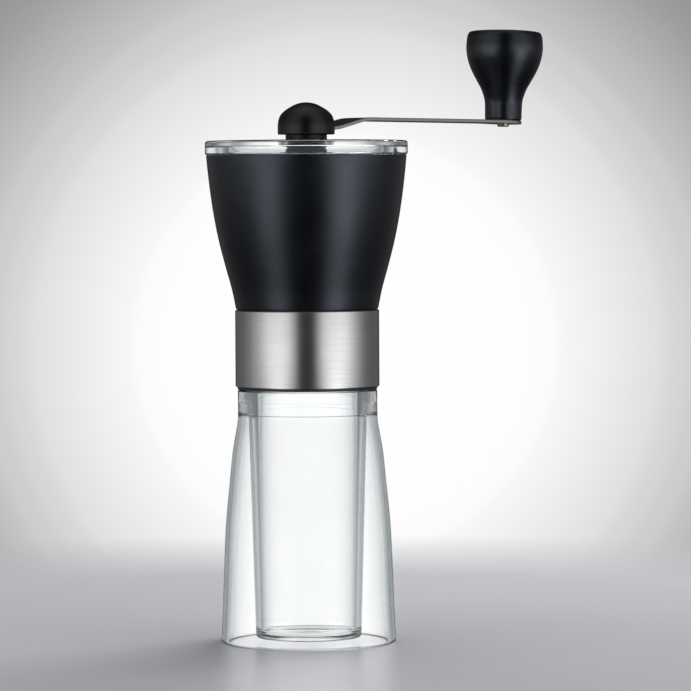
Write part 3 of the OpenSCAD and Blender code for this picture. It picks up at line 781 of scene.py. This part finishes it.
# below the horizon the two boxes are narrower and fade towards the floor
LOW_WALLS = [
    (-180, 0.1), (-110, 0.1), (-90, 0.13), (-76, 0.26), (-65, 0.68), (-56, 1.45),
    (-46, 1.8), (-37, 1.4), (-29, 0.5), (-20, 0.12), (-8, 0.03), (12, 0.03),
    (21, 0.15), (29, 0.7), (37, 1.8), (46, 2.6), (56, 2.25), (65, 1.1), (76, 0.4),
    (90, 0.16), (112, 0.1), (180, 0.1)]
LOW_WINDOW = [
    (-90, 0.1), (-48, 0.25), (-36, 0.4), (-27, 0.48), (-20, 0.72), (-14, 1.0),
    (-6, 1.1)]
LOW_SHARE = [(-12, 1.0), (-6, 0.0)]
CEILING = 0.47
CEILING_SHARE = [(45, 0.0), (70, 1.0)]
# the sheet's position is the bearing's angle off straight behind
SHEET = [
    (0, 1.14), (9, 1.08), (13, 1.02), (16, 0.96), (19, 0.9), (22, 0.8), (25, 0.62),
    (28, 0.44), (30, 0.38), (33, 0.44), (36, 0.56), (39, 0.6), (43, 0.5), (47, 0.34),
    (52, 0.22), (58, 0.16), (66, 0.2), (84, 0.38), (115, 0.62), (180, 0.75)]
SHEET_DARK_TINT = (0.93, 0.985, 1.02)
SHEET_TALL = [(-90, 0.62), (-35, 0.72), (-14, 1.0), (35, 1.0), (60, 0.5), (90, 0.4)]
# share of the bright sheet in what the polished clear walls mirror
SHEET_IN_MIRROR = 0.05


def part_along(tree, direction, axis):
    node = tree.nodes.new("ShaderNodeVectorMath")
    node.operation = "DOT_PRODUCT"
    node.inputs[1].default_value = axis
    tree.links.new(direction, node.inputs[0])
    return node.outputs["Value"]


def levels(tree, value, stops, mode="LINEAR", dark_tint=WHITE):
    """Level as a function of value, through the stops; levels below 1 are tinted."""
    low, high = stops[0][0], stops[-1][0]
    node = tree.nodes.new("ShaderNodeValToRGB")
    tree.links.new(remap(tree, value, low, high, 0.0, 1.0), node.inputs["Fac"])
    elements = node.color_ramp.elements
    for position, level in stops[1:-1]:
        elements.new((position - low) / (high - low))
    for element, (position, level) in zip(elements, stops):
        tint = dark_tint if level < 1.0 else WHITE
        element.color = (*(level * c for c in tint), 1.0)
    node.color_ramp.interpolation = mode
    return node.outputs["Color"]


def backdrop_colour(tree, direction):
    """Rings about the camera's aim."""
    aim = (AIM - EYE).normalized()
    ahead = part_along(tree, direction, aim)
    across = part_along(tree, direction, RIGHT)
    above = part_along(tree, direction, RIGHT.cross(aim).normalized())
    off = maths(tree, "SQRT", maths(
        tree, "ADD", maths(tree, "MULTIPLY", across, across),
        maths(tree, "MULTIPLY", above, above)))
    spread = maths(tree, "DIVIDE", off, maths(tree, "MAXIMUM", ahead, 0.05))
    return levels(tree, spread, BACKDROP, "CARDINAL")


def studio_colour(tree, bearing, height):
    upper = mix_colours(tree, levels(tree, bearing, WALLS), levels(tree, height, WINDOW),
                        1.0, "MULTIPLY")
    lower = mix_colours(tree, levels(tree, bearing, LOW_WALLS),
                        levels(tree, height, LOW_WINDOW), 1.0, "MULTIPLY")
    boxes = mix_colours(tree, upper, lower, levels(tree, height, LOW_SHARE))
    return mix_colours(tree, boxes, (CEILING, CEILING, CEILING),
                       levels(tree, height, CEILING_SHARE))


def sheet_colour(tree, bearing, height):
    off_behind = maths(tree, "SUBTRACT", 180.0, maths(tree, "ABSOLUTE", bearing))
    return mix_colours(
        tree, levels(tree, off_behind, SHEET, "LINEAR", SHEET_DARK_TINT),
        levels(tree, height, SHEET_TALL), 1.0, "MULTIPLY")


def make_world():
    world = bpy.data.worlds.new("world")
    scene.world = world
    world.use_nodes = True
    tree = world.node_tree
    direction = tree.nodes.new("ShaderNodeTexCoord").outputs["Generated"]
    in_degrees = 180.0 / math.pi
    to_camera = maths(tree, "MULTIPLY", part_along(tree, direction, LOOK), -1.0)
    bearing = maths(tree, "MULTIPLY", maths(
        tree, "ARCTAN2", part_along(tree, direction, RIGHT), to_camera), in_degrees)
    height = maths(tree, "MULTIPLY", maths(
        tree, "ARCSINE", part_along(tree, direction, UP)), in_degrees)
    path = tree.nodes.new("ShaderNodeLightPath")
    mirrored = maths(tree, "MULTIPLY", path.outputs["Is Singular Ray"], SHEET_IN_MIRROR)
    lit = mix_colours(
        tree, studio_colour(tree, bearing, height), sheet_colour(tree, bearing, height),
        maths(tree, "MAXIMUM", path.outputs["Is Transmission Ray"], mirrored))
    background = tree.nodes["Background"]
    feed(tree, background.inputs["Color"],
         mix_colours(tree, lit, backdrop_colour(tree, direction),
                     path.outputs["Is Camera Ray"]))
    background.inputs["Strength"].default_value = 1.0


# ------------------------------------------------------------------ lights
def softbox(name, bearing, height, distance, width, tall, power, aim_z):
    """Bearing is in degrees from the camera's side of the object, positive to its
    right."""
    a = math.radians(bearing)
    direction = RIGHT * math.sin(a) - LOOK * math.cos(a)
    data = bpy.data.lights.new(name, "AREA")
    data.shape = "RECTANGLE"
    data.size = width
    data.size_y = tall
    data.energy = power
    light = bpy.data.objects.new(name, data)
    scene.collection.objects.link(light)
    look_at(light, direction * distance + UP * height, UP * aim_z)
    light.visible_camera = False
    light.visible_glossy = False


def make_lights():
    softbox("overhead", bearing=170, height=1.3, distance=0.3, width=1.0, tall=0.8,
            power=6.8, aim_z=0.11)
    softbox("glow", bearing=152, height=0.55, distance=0.5, width=0.4, tall=0.3,
            power=2.1, aim_z=0.0)


# ------------------------------------------------------------------ build
make_camera()
finish_cad_nodes()
make_cup()
make_band()
make_hopper()
make_lid()
make_hub()
make_arm()
make_knob()
make_crown()
make_floor()
make_card()
make_world()
make_lights()
